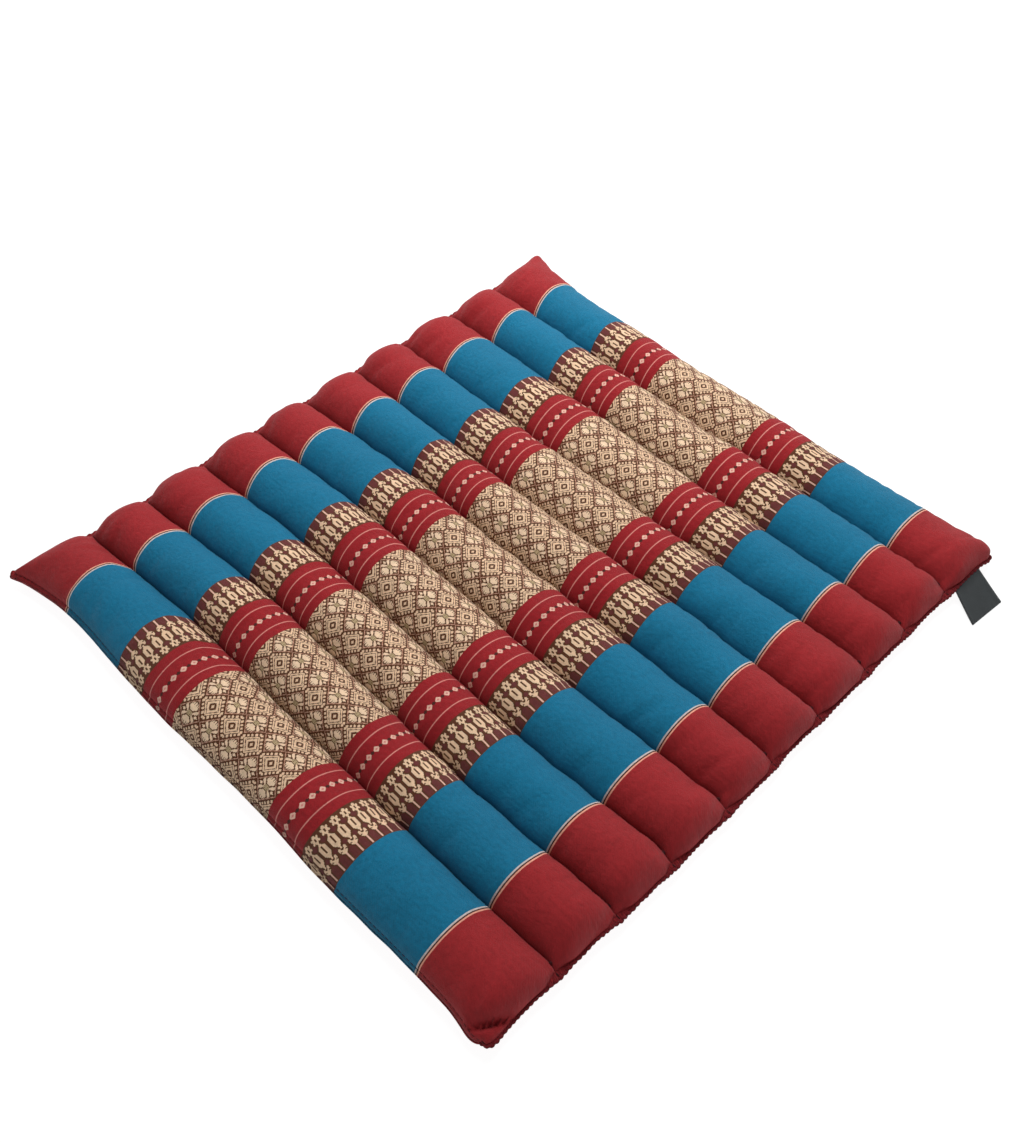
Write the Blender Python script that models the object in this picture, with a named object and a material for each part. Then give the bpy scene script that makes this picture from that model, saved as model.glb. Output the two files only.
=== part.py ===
"""A quilted meditation cushion: ten stuffed rolls side by side, with a woven label in one end seam.

Metres, +Z up. The rolls lie side by side along X and run along Y. The cushion rests on z = 0, and
the origin is the middle of the footprint, label included.
"""

import math

import bmesh
import bpy
from mathutils import Vector

MM = 0.001

# Driving sizes of the cushion
ROLLS = 10
ROLL_PITCH = 0.052
LENGTH = 0.4845
THICKNESS = 0.0315
SEAM_HEIGHT = 0.014
SEAM_THICKNESS = 0.0022
BELLY = 0.0165

# The end seams hang lower than the channel seams, and the side lips hang outward of theirs
END_DROPS = {"far": 0.0065, "near": 0.0040}
END_DROP_LENGTH = 0.060
SIDE_LIP = 0.0058
LEFT_LIP_DROP = 0.0020
RIGHT_LIP_DROP = 0.0040

# The rolls round off over the end taper. Their ends bow out over the lip, which is wider at the
# channel seams, and the far lip is drawn in there
END_TAPERS = {"far": 0.026, "near": 0.022}
END_LIP = 0.0032
END_LIP_AT_SEAMS = 0.0040
LIP_DRAWN_IN = {"far": 0.0025, "near": 0.0}
END_BOW_OF_LIP = 0.0012
TAPER_SQUARENESS = 2.2
TAPER_STEEPNESS = 0.55

# Each channel seam stops short of the end, and the cloth past its last stitch swells up again
SEAM_STOP = 0.010
SWELL_PAST_STOP = 0.40

# Where the faces of one roll lie across it, as shares of its width, closer near the seams
ACROSS_ROLL = (0.0, 0.05, 0.18, 0.37, 0.63, 0.82, 0.95)

# How far from each end seam the faces of the tapered end lie, as shares of the taper
ALONG_TAPER = (0.0, 0.04, 0.15, 0.34, 0.62, 1.0)
ALONG_MIDDLE = 9

# Outer edge of the two long sides, in mm: distance from the far end, left edge and right edge.
# Positive is outward of the even grid of rolls.
SIDE_EDGES = (
    # from far end, left, right
    (0, 13.3, 18.0),
    (10, 10.8, 14.0),
    (30, 7.8, 8.5),
    (55, 5.0, 5.2),
    (85, 4.8, 4.0),
    (120, 6.8, 4.2),
    (170, 8.3, 4.8),
    (230, 7.0, 4.4),
    (280, 6.4, 4.2),
    (340, 8.6, 5.2),
    (410, 7.8, 6.0),
    (450, 8.0, 8.4),
    (470, 9.6, 9.6),
    (484.5, 10.4, 5.0),
)

# How far each corner tip is pulled in along the rolls, in mm
CORNER_PULLS = {
    ("left", "far"): -1.0,
    ("right", "far"): 0.5,
    ("left", "near"): 5.0,
    ("right", "near"): 0.5,
}

# Sideways run of the nine channel seams, in mm from the even grid, positive to the right
CHANNEL_SEAMS = (
    # far end, quarter, middle, three quarters, near end
    (-3.0, 4.0, 2.5, 0.9, 3.0),
    (-6.0, 3.0, 2.2, -1.1, 3.0),
    (-4.0, 2.5, 0.5, -3.0, 2.0),
    (-2.5, 3.0, 1.5, 0.0, 4.0),
    (-4.0, 2.5, 1.5, 2.6, 1.5),
    (-1.5, -2.0, -1.5, 1.3, 0.5),
    (-1.5, -2.0, -0.5, 1.4, 5.0),
    (3.5, 3.5, 2.0, 1.3, 3.0),
    (3.0, 2.5, 1.5, 3.0, 2.5),
)

# How each roll differs from its neighbours
ROLL_SHAPES = (
    # crest height share, far end mm outward, near end mm outward
    (1.00, 0.5, -1.0),
    (1.02, -1.8, -0.5),
    (0.98, 0.0, 0.5),
    (1.01, -0.2, 1.5),
    (0.98, 0.2, 1.0),
    (1.02, 0.0, 1.0),
    (1.00, 0.8, 0.5),
    (0.98, 0.0, 0.0),
    (1.01, -0.8, 0.0),
    (0.99, 2.0, 1.5),
)

# The label: its root in the near end seam, measured from the left end of the grid of rolls
LABEL_ROOT_MIDDLE = 0.4912
LABEL_WIDTH = 0.030
LABEL_REACH = 0.0258
LABEL_THICKNESS = 0.0012
LABEL_SLANT = math.radians(-24)
LABEL_CLEARANCE = 0.0003
LABEL_TIP_HEIGHT = 0.0006
LABEL_BEND = 1.25
LABEL_CELLS_ALONG = 10
LABEL_CELLS_ACROSS = 6

SHARPEST_SMOOTH_EDGE = math.radians(50)
COVER_RED = (0.33, 0.028, 0.034, 1.0)
LABEL_CHARCOAL = (0.018, 0.020, 0.024, 1.0)


def clear_scene():
    for obj in list(bpy.data.objects):
        bpy.data.objects.remove(obj)


def make_material(name, colour, roughness):
    material = bpy.data.materials.new(name)
    material.use_nodes = True
    shader = material.node_tree.nodes["Principled BSDF"]
    shader.inputs["Base Color"].default_value = colour
    shader.inputs["Roughness"].default_value = roughness
    shader.inputs["Metallic"].default_value = 0.0
    return material


def smooth_between(stations, values, place):
    """The value at a place between stations, eased so that the run has no corners."""
    if place <= stations[0]:
        return values[0]
    for i in range(len(stations) - 1):
        if place <= stations[i + 1]:
            share = (place - stations[i]) / (stations[i + 1] - stations[i])
            before = values[max(i - 1, 0)]
            after = values[min(i + 2, len(values) - 1)]
            start, end = values[i], values[i + 1]
            bend_in = 0.5 * (end - before)
            bend_out = 0.5 * (after - start)
            square, cube = share * share, share**3
            return (
                (2 * cube - 3 * square + 1) * start
                + (cube - 2 * square + share) * bend_in
                + (3 * square - 2 * cube) * end
                + (cube - square) * bend_out
            )
    return values[-1]


def side_edge(from_far, column):
    """How far outward a long side's lip reaches; column 1 is the left side and 2 the right."""
    stations = [row[0] * MM for row in SIDE_EDGES]
    return smooth_between(stations, [row[column] * MM for row in SIDE_EDGES], from_far)


def seam_x(seam, from_far):
    """X of a seam line: 0 and ROLLS are the stitched side seams, the rest are channels."""
    even = (seam - ROLLS / 2) * ROLL_PITCH
    if seam == 0:
        return even - side_edge(from_far, 1) + SIDE_LIP
    if seam == ROLLS:
        return even + side_edge(from_far, 2) - SIDE_LIP
    offsets = [value * MM for value in CHANNEL_SEAMS[seam - 1]]
    quarters = [LENGTH * i / 4 for i in range(5)]
    return even + smooth_between(quarters, offsets, from_far)


def fullness(share):
    """Height of a stuffed section at a share of its width, a circle's arc from seam to seam."""
    across = abs(2.0 * share - 1.0)
    rise = (THICKNESS - SEAM_HEIGHT) / (ROLL_PITCH / 2)
    radius = (1.0 + rise * rise) / (2.0 * rise)
    return (math.sqrt(radius * radius - across * across) - (radius - rise)) / rise


def end_fullness(distance, end):
    """Height of a roll at a distance from its end seam: 0 at the seam, 1 past the taper."""
    short = 1.0 - min(max(distance / END_TAPERS[end], 0.0), 1.0)
    return (1.0 - short**TAPER_SQUARENESS) ** TAPER_STEEPNESS


def seam_fill(distance):
    """Share of the swell that stays on a channel seam's line, past the seam's last stitch."""
    past = 1.0 - min(max(distance / SEAM_STOP, 0.0), 1.0)
    return SWELL_PAST_STOP * past * past * (3.0 - 2.0 * past)


def seam_height(distance, end):
    """Height of the seams at a distance from the nearer end, which is far or near."""
    towards_end = 1.0 - min(max(distance / END_DROP_LENGTH, 0.0), 1.0)
    return SEAM_HEIGHT - END_DROPS[end] * towards_end * towards_end


def columns_across():
    """(roll, share across the roll, side lip) of each line of points; the lip is 0 or 1."""
    columns = [(0, 0.0, 1)]
    for roll in range(ROLLS):
        columns += [(roll, share, 0) for share in ACROSS_ROLL]
    return columns + [(ROLLS - 1, 1.0, 0), (ROLLS - 1, 1.0, 1)]


def rows_along():
    """(share of the way from the far end seam to the near one, end lip) of each row of points."""
    far_rows = [END_TAPERS["far"] * share / LENGTH for share in ALONG_TAPER]
    near_rows = [1.0 - END_TAPERS["near"] * share / LENGTH for share in reversed(ALONG_TAPER)]
    first, last = far_rows[-1], near_rows[0]
    middle = [first + (last - first) * i / ALONG_MIDDLE for i in range(1, ALONG_MIDDLE)]
    rows = far_rows + middle + near_rows
    return [(0.0, 1)] + [(row, 0) for row in rows] + [(1.0, 1)]


def end_edge(column, end):
    """(outer edge of the lip, its inner edge) of one end, as distances from the middle."""
    roll, share, side_lip = column
    offset_column = 1 if end == "far" else 2
    own = ROLL_SHAPES[roll][offset_column]
    neighbour = min(max(roll - 1 if share < 0.5 else roll + 1, 0), ROLLS - 1)
    shared = 0.5 * (own + ROLL_SHAPES[neighbour][offset_column])
    middle = fullness(share)
    outer = LENGTH / 2 + (shared + (own - shared) * middle) * MM - END_BOW_OF_LIP * middle
    if side_lip:
        side = "left" if share < 0.5 else "right"
        outer -= CORNER_PULLS[side, end] * MM
    at_seam = abs(2.0 * share - 1.0) ** 3
    inner = outer - END_LIP - END_LIP_AT_SEAMS * at_seam
    if not side_lip:
        outer -= LIP_DRAWN_IN[end] * at_seam
    return outer, inner


def surface_point(column, row, side):
    """A point of the top (side 1) or the underside (side -1) of the cushion."""
    roll, share, side_lip = column
    along, end_lip = row
    far_outer, far = end_edge(column, "far")
    near_outer, near = end_edge(column, "near")
    y = far + (-near - far) * along
    from_end = min(far - y, y + near)
    end = "far" if along < 0.5 else "near"
    if end_lip:
        y = far_outer if end == "far" else -near_outer
    from_far = min(max(LENGTH / 2 - y, 0.0), LENGTH)
    left = seam_x(roll, from_far)
    right = seam_x(roll + 1, from_far)
    x = left + (right - left) * share
    seam = seam_height(from_end, end)
    if side_lip:
        x += SIDE_LIP if share > 0.5 else -SIDE_LIP
        seam -= RIGHT_LIP_DROP if share > 0.5 else LEFT_LIP_DROP
    at_outer_side = (roll == 0 and share < 0.5) or (roll == ROLLS - 1 and share > 0.5)
    across = fullness(share)
    if not at_outer_side:
        across += (1.0 - across) * seam_fill(from_end)
    swell = across * end_fullness(from_end, end)
    if side > 0:
        skin = seam + SEAM_THICKNESS / 2
        return Vector((x, y, skin + (THICKNESS * ROLL_SHAPES[roll][0] - skin) * swell))
    skin = seam - SEAM_THICKNESS / 2
    return Vector((x, y, max(0.0, skin - BELLY * swell)))


def closed_sheet(cells_x, cells_y, place):
    """A closed body made of a grid and its copy, with place(i, j, side) giving every point."""
    mesh = bmesh.new()
    bmesh.ops.create_grid(mesh, x_segments=cells_x, y_segments=cells_y, size=1.0)
    lower = list(mesh.verts)
    cell = {}
    for vert in lower:
        i = round((vert.co.x + 1) / 2 * cells_x)
        j = round((vert.co.y + 1) / 2 * cells_y)
        cell[vert] = (i, j)
    extruded = bmesh.ops.extrude_face_region(mesh, geom=list(mesh.faces))
    upper = [item for item in extruded["geom"] if isinstance(item, bmesh.types.BMVert)]
    for vert in upper:
        i = round((vert.co.x + 1) / 2 * cells_x)
        j = round((vert.co.y + 1) / 2 * cells_y)
        vert.co = place(i, j, 1)
    for vert, (i, j) in cell.items():
        vert.co = place(i, j, -1)
    bmesh.ops.recalc_face_normals(mesh, faces=mesh.faces)
    return mesh


def add_object(name, mesh, material, collection, parent):
    data = bpy.data.meshes.new(name)
    mesh.to_mesh(data)
    mesh.free()
    data.materials.append(material)
    data.shade_smooth()
    data.set_sharp_from_angle(angle=SHARPEST_SMOOTH_EDGE)
    obj = bpy.data.objects.new(name, data)
    collection.objects.link(obj)
    obj.parent = parent
    return obj


def make_cushion(material, collection, parent):
    columns = columns_across()
    rows = rows_along()

    def place(i, j, side):
        return surface_point(columns[i], rows[j], side)

    mesh = closed_sheet(len(columns) - 1, len(rows) - 1, place)
    return add_object("cushion", mesh, material, collection, parent)


def label_centre_line(share):
    """(distance out from the end seam, height) of the label's middle layer, drooping to the floor."""
    root = seam_height(0.0, "near")
    tip = LABEL_TIP_HEIGHT + LABEL_THICKNESS / 2
    return LABEL_REACH * share, tip + (root - tip) * (1.0 - share) ** LABEL_BEND


def near_edge_y(x):
    """Y of the near end lip's outer edge at an x, on the straight faces between its points."""
    row = rows_along()[-1]
    edge = [surface_point(column, row, 1) for column in columns_across()]
    for start, end in zip(edge, edge[1:]):
        if start.x <= x <= end.x:
            return start.y + (end.y - start.y) * (x - start.x) / (end.x - start.x)
    return edge[-1].y


def make_label(material, collection, parent):
    root_x = LABEL_ROOT_MIDDLE - ROLLS / 2 * ROLL_PITCH

    def place(i, j, side):
        across = (i / LABEL_CELLS_ACROSS - 0.5) * LABEL_WIDTH
        share_out = 1 - j / LABEL_CELLS_ALONG
        out, height = label_centre_line(share_out)
        x = root_x + across + out * math.tan(LABEL_SLANT)
        root_y = near_edge_y(root_x + across) - LABEL_CLEARANCE
        y = root_y + (near_edge_y(root_x) - near_edge_y(root_x + across)) * share_out - out
        return Vector((x, y, height + side * LABEL_THICKNESS / 2))

    mesh = closed_sheet(LABEL_CELLS_ACROSS, LABEL_CELLS_ALONG, place)
    return add_object("label", mesh, material, collection, parent)


def middle_of_footprint(objects):
    points = [vert.co for obj in objects for vert in obj.data.vertices]
    low = Vector(min(point[axis] for point in points) for axis in range(3))
    high = Vector(max(point[axis] for point in points) for axis in range(3))
    return Vector(((low.x + high.x) / 2, (low.y + high.y) / 2, low.z))


def main():
    clear_scene()
    collection = bpy.data.collections.new("meditation_cushion")
    bpy.context.scene.collection.children.link(collection)
    base = bpy.data.objects.new("footprint", None)
    collection.objects.link(base)
    cover = make_material("cover", COVER_RED, 0.85)
    woven = make_material("label", LABEL_CHARCOAL, 0.8)
    pieces = [make_cushion(cover, collection, base), make_label(woven, collection, base)]
    base.location = -middle_of_footprint(pieces)


main()
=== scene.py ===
"""The looks of a quilted meditation cushion: figured cloth over ten stuffed rolls, and its sewing.

Metres, +Z up. The cushion's own sizes are written in a frame whose middle is the middle of the
grid of rolls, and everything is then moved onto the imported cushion.
"""

import math

import bpy
import numpy as np
from mathutils import Matrix, Vector


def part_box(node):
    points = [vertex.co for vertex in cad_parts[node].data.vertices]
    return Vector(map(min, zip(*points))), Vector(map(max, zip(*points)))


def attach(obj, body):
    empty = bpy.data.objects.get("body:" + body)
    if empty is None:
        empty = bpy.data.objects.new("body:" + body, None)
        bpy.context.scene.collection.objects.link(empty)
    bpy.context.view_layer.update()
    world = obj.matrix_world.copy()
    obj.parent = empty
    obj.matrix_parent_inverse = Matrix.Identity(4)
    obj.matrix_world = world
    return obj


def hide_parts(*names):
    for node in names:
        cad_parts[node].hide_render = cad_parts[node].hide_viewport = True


MM = 0.001

# Driving sizes of the cushion. The grid, length and thickness are those of its solids, and the
# sections and seams are rounder and deeper than theirs.
ROLLS = 10
ROLL_PITCH = 0.052
LENGTH = 0.4845
THICKNESS = 0.0315
SIDE_SEAM_HEIGHT = 0.0135
CHANNEL_HEIGHT = 0.0105
SEAM_THICKNESS = 0.0022
BELLY = 0.0165
END_HEIGHTS = {"far": 0.0075, "near": 0.0100}
END_DROP_LENGTH = 0.060
SIDE_LIPS = {"left": (0.0025, 0.0012), "right": (0.0022, 0.0014)}
LEFT_LIP_DROP = 0.0026
RIGHT_LIP_DROP = 0.0040
END_TAPERS = {"far": 0.024, "near": 0.019}
END_LIP = {"far": 0.0020, "near": 0.0006}
END_LIP_AT_SEAMS = {"far": 0.0015, "near": 0.0034}
END_LIP_AT_CORNERS = {"far": 0.0010, "near": 0.0006}
ROPE_INSET = {"far": 0.0004, "near": 0.0011}
LIP_DRAWN_IN = {"far": 0.0020, "near": 0.0}
END_BOW_OF_LIP = 0.0012
END_BOW_SQUARENESS = 2.5
NOTCH_SHARES = (0.3125, 0.2)
TAPER_SQUARENESS = 2.0
TAPER_STEEPNESS = 0.52
SECTION_SQUARENESS = 2.0
SECTION_STEEPNESS = 0.52
SECTION_LEAN = 0.36
CORNER_FULLNESS = 3.0
SEAM_STOP = 0.010
SWELL_PAST_STOP = 0.06

# Outer edge of the two long sides, in mm: distance from the far end, left edge and right edge.
# Positive is outward of the even grid of rolls.
SIDE_EDGES = (
    # from far end, left, right
    (0, 13.3, 16.2),
    (10, 10.8, 13.4),
    (30, 7.8, 7.0),
    (55, 5.0, 2.6),
    (85, 4.8, 0.2),
    (120, 6.8, 0.2),
    (170, 8.3, -0.2),
    (230, 7.0, -0.8),
    (280, 6.4, 1.0),
    (340, 8.6, 0.0),
    (410, 7.8, 1.0),
    (450, 8.0, 4.6),
    (470, 9.6, 7.4),
    (484.5, 10.4, 7.6),
)

# The four corners, in mm: how far each tip is pulled in along the rolls and lifted, how round it
# is in plan, and how far the cloth round it is pushed outward, sideways and along the rolls
CORNERS = {
    ("left", "far"): (-1.0, 4.0, 4.0, 2.6, 1.2),
    ("right", "far"): (0.5, 3.5, 19.0, 3.2, 4.2),
    ("left", "near"): (5.0, 0.0, 14.0, 2.4, 2.4),
    ("right", "near"): (0.5, -2.0, 13.0, 2.4, 2.4),
}
CORNER_LIFT_REACH = 0.016
CORNER_PUSH_REACH = 0.014

# The folded corner at the near left: its crease runs from the left edge to the near edge, at
# these distances from the corner's tip, and cuts an ear off the stuffed body
FOLDED_CORNER_SIZE = 0.06
CREASE_UP_SIDE = 0.0135
CREASE_ALONG_END = 0.0205
CREASE_BODY_REACH = 0.0075
EAR_REACH = 0.0030
EAR_FULLNESS = 0.42

# How far the lip of the long sides rounds up
LIP_ROUND = 0.0005

# Sideways run of the nine channel seams, in mm from the even grid, positive to the right
CHANNEL_SEAMS = (
    # far end, quarter, middle, three quarters, near end
    (-3.0, 4.0, 2.5, 0.9, 3.0),
    (-6.0, 3.0, 2.2, -1.1, 3.0),
    (-4.0, 2.5, 0.5, -3.0, 2.0),
    (-2.5, 3.0, 1.5, 0.0, 4.0),
    (-4.0, 2.5, 1.5, 2.6, 1.5),
    (-1.5, -2.0, -1.5, 1.3, 0.5),
    (-1.5, -2.0, -0.5, 1.4, 5.0),
    (3.5, 3.5, 2.0, 1.3, 3.0),
    (3.0, 2.5, 1.5, 3.0, 2.5),
)

# How each roll differs from its neighbours, and how far its cloth lies along it, in mm
ROLL_SHAPES = (
    # crest height share, far end mm outward, near end mm outward, cloth mm towards the near end
    # at the far end, the middle and the near end, cloth mm from a flower's middle at the left seam
    (1.00, 0.5, 0.2, -1.1, -1.0, -1.5, 10.1),
    (1.02, -1.8, 0.7, 2.9, 0.3, 0.1, 82.6),
    (0.98, 0.7, 2.7, 0.6, -0.5, -0.8, 161.1),
    (1.01, 2.3, 2.9, 0.0, 0.0, 0.0, 234.9),
    (0.98, 2.2, 2.7, -0.2, 0.2, -0.8, 317.0),
    (1.02, 1.5, 1.0, 3.2, 1.3, 0.5, 393.1),
    (1.00, 3.0, 1.7, 1.7, 1.2, 0.0, 467.9),
    (0.98, 1.5, 1.2, 0.3, 1.2, 0.7, 545.2),
    (1.01, 0.7, 1.2, 0.7, 1.7, 1.5, 625.2),
    (0.99, 2.0, 2.5, 1.5, 3.2, 3.2, 704.2),
)

# The label: its root in the near end seam, measured from the left end of the grid of rolls
LABEL_ROOT_MIDDLE = 0.4912
LABEL_WIDTH = 0.031
LABEL_FLARE = 0.0035
LABEL_TURN = 0.0030
LABEL_REACH = 0.0258
LABEL_THICKNESS = 0.0012
LABEL_SLANT = math.radians(-24)
LABEL_TIP_HEIGHT = 0.0006
LABEL_BEND = 1.25

# How far the label is tucked into the seam and where its tip starts to round, as shares of its
# length, the ridges along its sides and the sag between them
LABEL_TUCK = 0.06
LABEL_ROUND_FROM = 0.94
LABEL_RIDGE = 0.00012
LABEL_RIDGE_FROM = 0.45
LABEL_SAG = 0.0006
LABEL_SAG_LEVEL = 0.4
LABEL_LEAST_HEIGHT = 0.0001

# Fine mesh of the cover and of the label
CELLS_ACROSS_ROLL = 22
CELLS_ON_SIDE_LIP = 3
CELLS_ON_END_LIP = 3
CELLS_ON_TAPER = 13
CELLS_ALONG_MIDDLE = 150
LABEL_CELLS_ACROSS = 24
LABEL_CELLS_ALONG = 30

# Folds of the cloth: lengths and depths in metres, and the shares between which pinches vary
LUMP_HEIGHT = 0.0007
LUMP_LENGTH = 0.085
DIMPLE_HEIGHT = 0.00028
DIMPLE_LENGTH = 0.030
PINCH_SPACING = 0.017
PINCH_HALF_LENGTH = 0.0024
PINCH_REACH = 0.0070
PINCH_DEPTH = 0.0012
PINCH_DEPTH_AT_ENDS = 0.0020
PINCHED_END = 0.075
FIRST_PINCH = 0.004
PINCH_SIZES = (0.25, 1.0)
PINCH_LENGTHS = (0.7, 1.5)
PINCH_LEANS = (-0.5, 0.5)
PINCH_GAPS = (0.7, 1.4)
SEAM_WANDER = 0.0004
SEAM_WANDER_LENGTH = 0.035
SEAM_LEAN = 0.0025
SEAM_LEAN_LENGTH = 0.030
SEAM_TURN = 0.0015
SEAM_TURN_LENGTH = 0.0090
LIP_WAVE = 0.0006
LIP_WAVE_PITCH = 0.0042
LIP_WAVE_WANDER = 2.0
LIP_WAVE_WANDER_LENGTH = 0.03
SIDE_WAVE_LENGTH = 0.028
EDGE_ROUND = 0.0007

# The woven cloth: its threads, and the places of its bands from the middle of the field, in mm
THREAD = 0.576
PICK = 0.4714
FIELD_REPEAT = 42
BORDER_REPEAT = 14
FIELD_PICKS = 105
RED_BAND_END = 85.3
BORDER_END = 117.5
BLUE_END = 189.2
INNER_LINE_END = 190.3
MIDDLE_LINE_END = 191.2
OUTER_LINE_END = 192.2
THIN_LINES = (57.5, 77.4)
THIN_LINE_WIDTH = 0.9
DIAMOND_ROW = 67.2

# Where the bands lie on the cushion, in mm: the cloth is drawn in more towards the far end
BAND_PLACES = (
    # from the middle of the field towards the far end, towards the near end, on the cloth
    (0.0, 0.0, 0.0),
    (49.5, 49.5, 49.5),
    (57.2, 57.5, 57.5),
    (66.8, 67.3, 67.3),
    (76.9, 77.5, 77.5),
    (84.7, 85.3, 85.3),
    (115.0, 117.5, 117.5),
    (179.0, 188.2, 189.0),
    (182.2, 191.2, 192.0),
    (235.0, 250.0, 245.0),
)
FIELD_MIDDLE = 0.0070
BAND_SHIFT_REACH = 0.120

# Share of a roll's width over which its own shift holds, the rest leading over to the next roll's,
# and how far the far bands dip towards the near end at the channel seams, in mm
SHIFT_HELD_TO = 0.72
BAND_DIP = 3.0

# A quarter of the field's flower, rows and columns from its middle outward: # is cream, o is dull
FLOWER = (
    "ooo.##########",
    "ooo.#########.",
    "o.o.######....",
    "ooo.#########.",
    "oo...#######..",
    ".##...####....",
    ".###..#####...",
    "..###..##.....",
    "..####........",
    "..####........",
    "#..####.......",
    "##.####.......",
    "##..##........",
    "##............",
    "#.............",
    "#.............",
)

# The nested diamonds between the flowers: the distances from their middle, in mm, at which cream
# starts (1) and stops (0), and the ring of small teeth round them with its pitch and width
NEST_RINGS = ((0.0, 1), (1.3, 0), (3.2, 1), (5.2, 0), (6.0, 1), (7.3, 0))
NEST_TEETH = (8.0, 10.4)
TOOTH_PITCH = 3.8
TOOTH_WIDTH = 2.3
LATTICE_START = 9.1
LATTICE_END = 9.8

# Half of a border figure, from its middle outward: # is cream, p is pale rose, + is maroon and
# . is brown. The rows run from the red band to the blue band, each for a number of picks.
BORDER = (
    (2, "......."),
    (1, "#......"),
    (2, "##....."),
    (1, "##.##.."),
    (1, "#####.."),
    (1, ".####.."),
    (3, ".###..."),
    (1, ".####.."),
    (1, "#####.+"),
    (1, "##.##.+"),
    (1, "##...++"),
    (3, "#...+++"),
    (1, "##..+++"),
    (1, "##...++"),
    (1, "###...+"),
    (1, ".###..."),
    (11, ".####.."),
    (2, "#####.."),
    (2, "####..."),
    (1, "###...+"),
    (2, "##...++"),
    (2, "#...+++"),
    (1, "#..#.++"),
    (1, "#.###.+"),
    (2, "..###.."),
    (1, ".####.."),
    (1, "###.#.."),
    (1, "##....."),
    (1, "####..."),
    (1, "####..+"),
    (1, "###..++"),
    (1, "##..+++"),
    (14, "p..++++"),
)

# Half of the small diamonds in the red bands, rows from their middle: o is rose, x a dark link
DIAMONDS = (
    "oo##xxx",
    "o###.xx",
    "###...x",
    "##.....",
    "#......",
)

# Colours as the shaders take them
RED = (0.300, 0.0165, 0.020, 1.0)
BLUE = (0.004, 0.144, 0.262, 1.0)
BAND_RED = (0.275, 0.0100, 0.0140, 1.0)
CREAM = (0.74, 0.52, 0.34, 1.0)
PETAL_CREAM = (0.76, 0.56, 0.38, 1.0)
DULL_CREAM = (0.42, 0.31, 0.17, 1.0)
DARK_BROWN = (0.098, 0.032, 0.013, 1.0)
WINE = (0.055, 0.014, 0.010, 1.0)
MAROON = (0.125, 0.028, 0.026, 1.0)
ROSE = (0.58, 0.21, 0.18, 1.0)
PALE_ROSE = (0.72, 0.44, 0.34, 1.0)
LATTICE = (0.56, 0.31, 0.21, 1.0)
PALE_LINE = (0.55, 0.48, 0.46, 1.0)
PEACH = (0.76, 0.34, 0.24, 1.0)
# The near edge's rope and overcast thread: a maroon, darker than the cover's red partly as painted shade
# of the edge
EDGE_MAROON_AND_SHADE = (0.170, 0.011, 0.015, 1.0)
FAR_EDGE_RED = (0.240, 0.014, 0.017, 1.0)
STITCH_RED = (0.050, 0.005, 0.007, 1.0)
CHARCOAL = (0.036, 0.042, 0.044, 1.0)

# The blue band and the three thin lines past it, each with the distance at which it ends
BANDS_AND_LINES = (
    (BLUE, BLUE_END),
    (PALE_LINE, INNER_LINE_END),
    (WINE, MIDDLE_LINE_END),
    (PEACH, OUTER_LINE_END),
)

# The floor's colour, the strength of the light that it gives off, and the little shine of cloth
FLOOR_WHITE = (0.15, 0.15, 0.15, 1.0)
FLOOR_GLOW = 0.94
SHINE = 0.15

# Unevenness of the cloth: the size of each kind in mm, across and along, and the finer ones' detail
CLOUDS = (38.0, 60.0)
SLUBS = (1.1, 14.0)
MOTTLE = (3.0, 3.6, 3.0)
PUCKERS = (1.6, 5.0, 3.0)

# How strongly each kind shades the cloth, with the puckers' light and shade painted on the gathered
# edges, the share of its brightness that cloth loses to painted shade where the edge sewing gathers
# it, how high the threads and each kind stand in its relief, and how rough the cloths are
CLOUD_SHADE = 0.16
SLUB_SHADE = 0.16
GRAIN_SHADE = 0.12
MOTTLE_SHADE = 0.40
PUCKER_PAINTED_SHADE = 0.9
PLAIN_CLOUD_SHADE = 0.2
PLAIN_GRAIN_SHADE = 0.18
GATHER_PAINTED_SHADE = 0.22
RIDGE_RELIEF = 0.6
FLOAT_RELIEF = 0.3
GRAIN_RELIEF = 0.25
MOTTLE_RELIEF = 4.0
PUCKER_RELIEF = 8.0
CLOUD_ROUGHNESS = 0.12
GRAIN_ROUGHNESS = 0.10
BANDED_ROUGHNESS = 0.86
PLAIN_ROUGHNESS = 0.84

# The weaves: the picks of a repeat and how many of them a thread floats over, the sewing thread's
# twist in radians to a mm, the label's rib pitches in mm, and the depths of relief in metres
TWILL = (4.0, 1.5)
PLAIN_WEAVE = (2.0, 0.5)
THREAD_TWIST = 9.0
LABEL_RIB_PITCH = 0.45
LABEL_FINE_RIB_PITCH = 0.35
WEAVE_DEPTH = 0.00012
EDGE_WEAVE_DEPTH = 0.0002
THREAD_DEPTH = 0.00005

# Sewing
ROPE_RADIUS = {"near": 0.00070, "far": 0.0005}
ROPE_BUMP = {"near": 0.00090, "far": 0.00010}
ROPE_PITCH = 0.0041
ROPE_STEP = 0.0006
ROPE_SIDES = 10
ROPE_SHARPNESS = 0.8
ROPE_CLOTH_STEP = 0.8
ROPE_PITCH_CHANGE = 0.12
ROPE_PITCH_CHANGE_LENGTH = 0.05
ROPE_UNEVENNESS = (0.7, 1.25)
ROPE_UNEVEN_STEP = 0.005
ROPE_END_TAPER = 0.0015
ROPE_LEAST_END = 0.15
CHANNEL_STITCH = 0.0032
LIP_STITCH = 0.0036
STITCH_SHARE = 0.78
STITCH_RADIUS = 0.00032
SEAM_POINTS = 160
LIP_ROWS_LEFT_OUT = 4
KNOT_RADIUS = 0.0013
KNOT_HEIGHTS = {"far": 0.0, "near": 0.0022}
KNOT_SIZES = (0.8, 1.15)
KNOT_TURN = 0.6
OVERCAST_PITCH = 0.0014
OVERCAST_RADIUS = 0.00028
OVERCAST_RISE = 0.6
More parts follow.
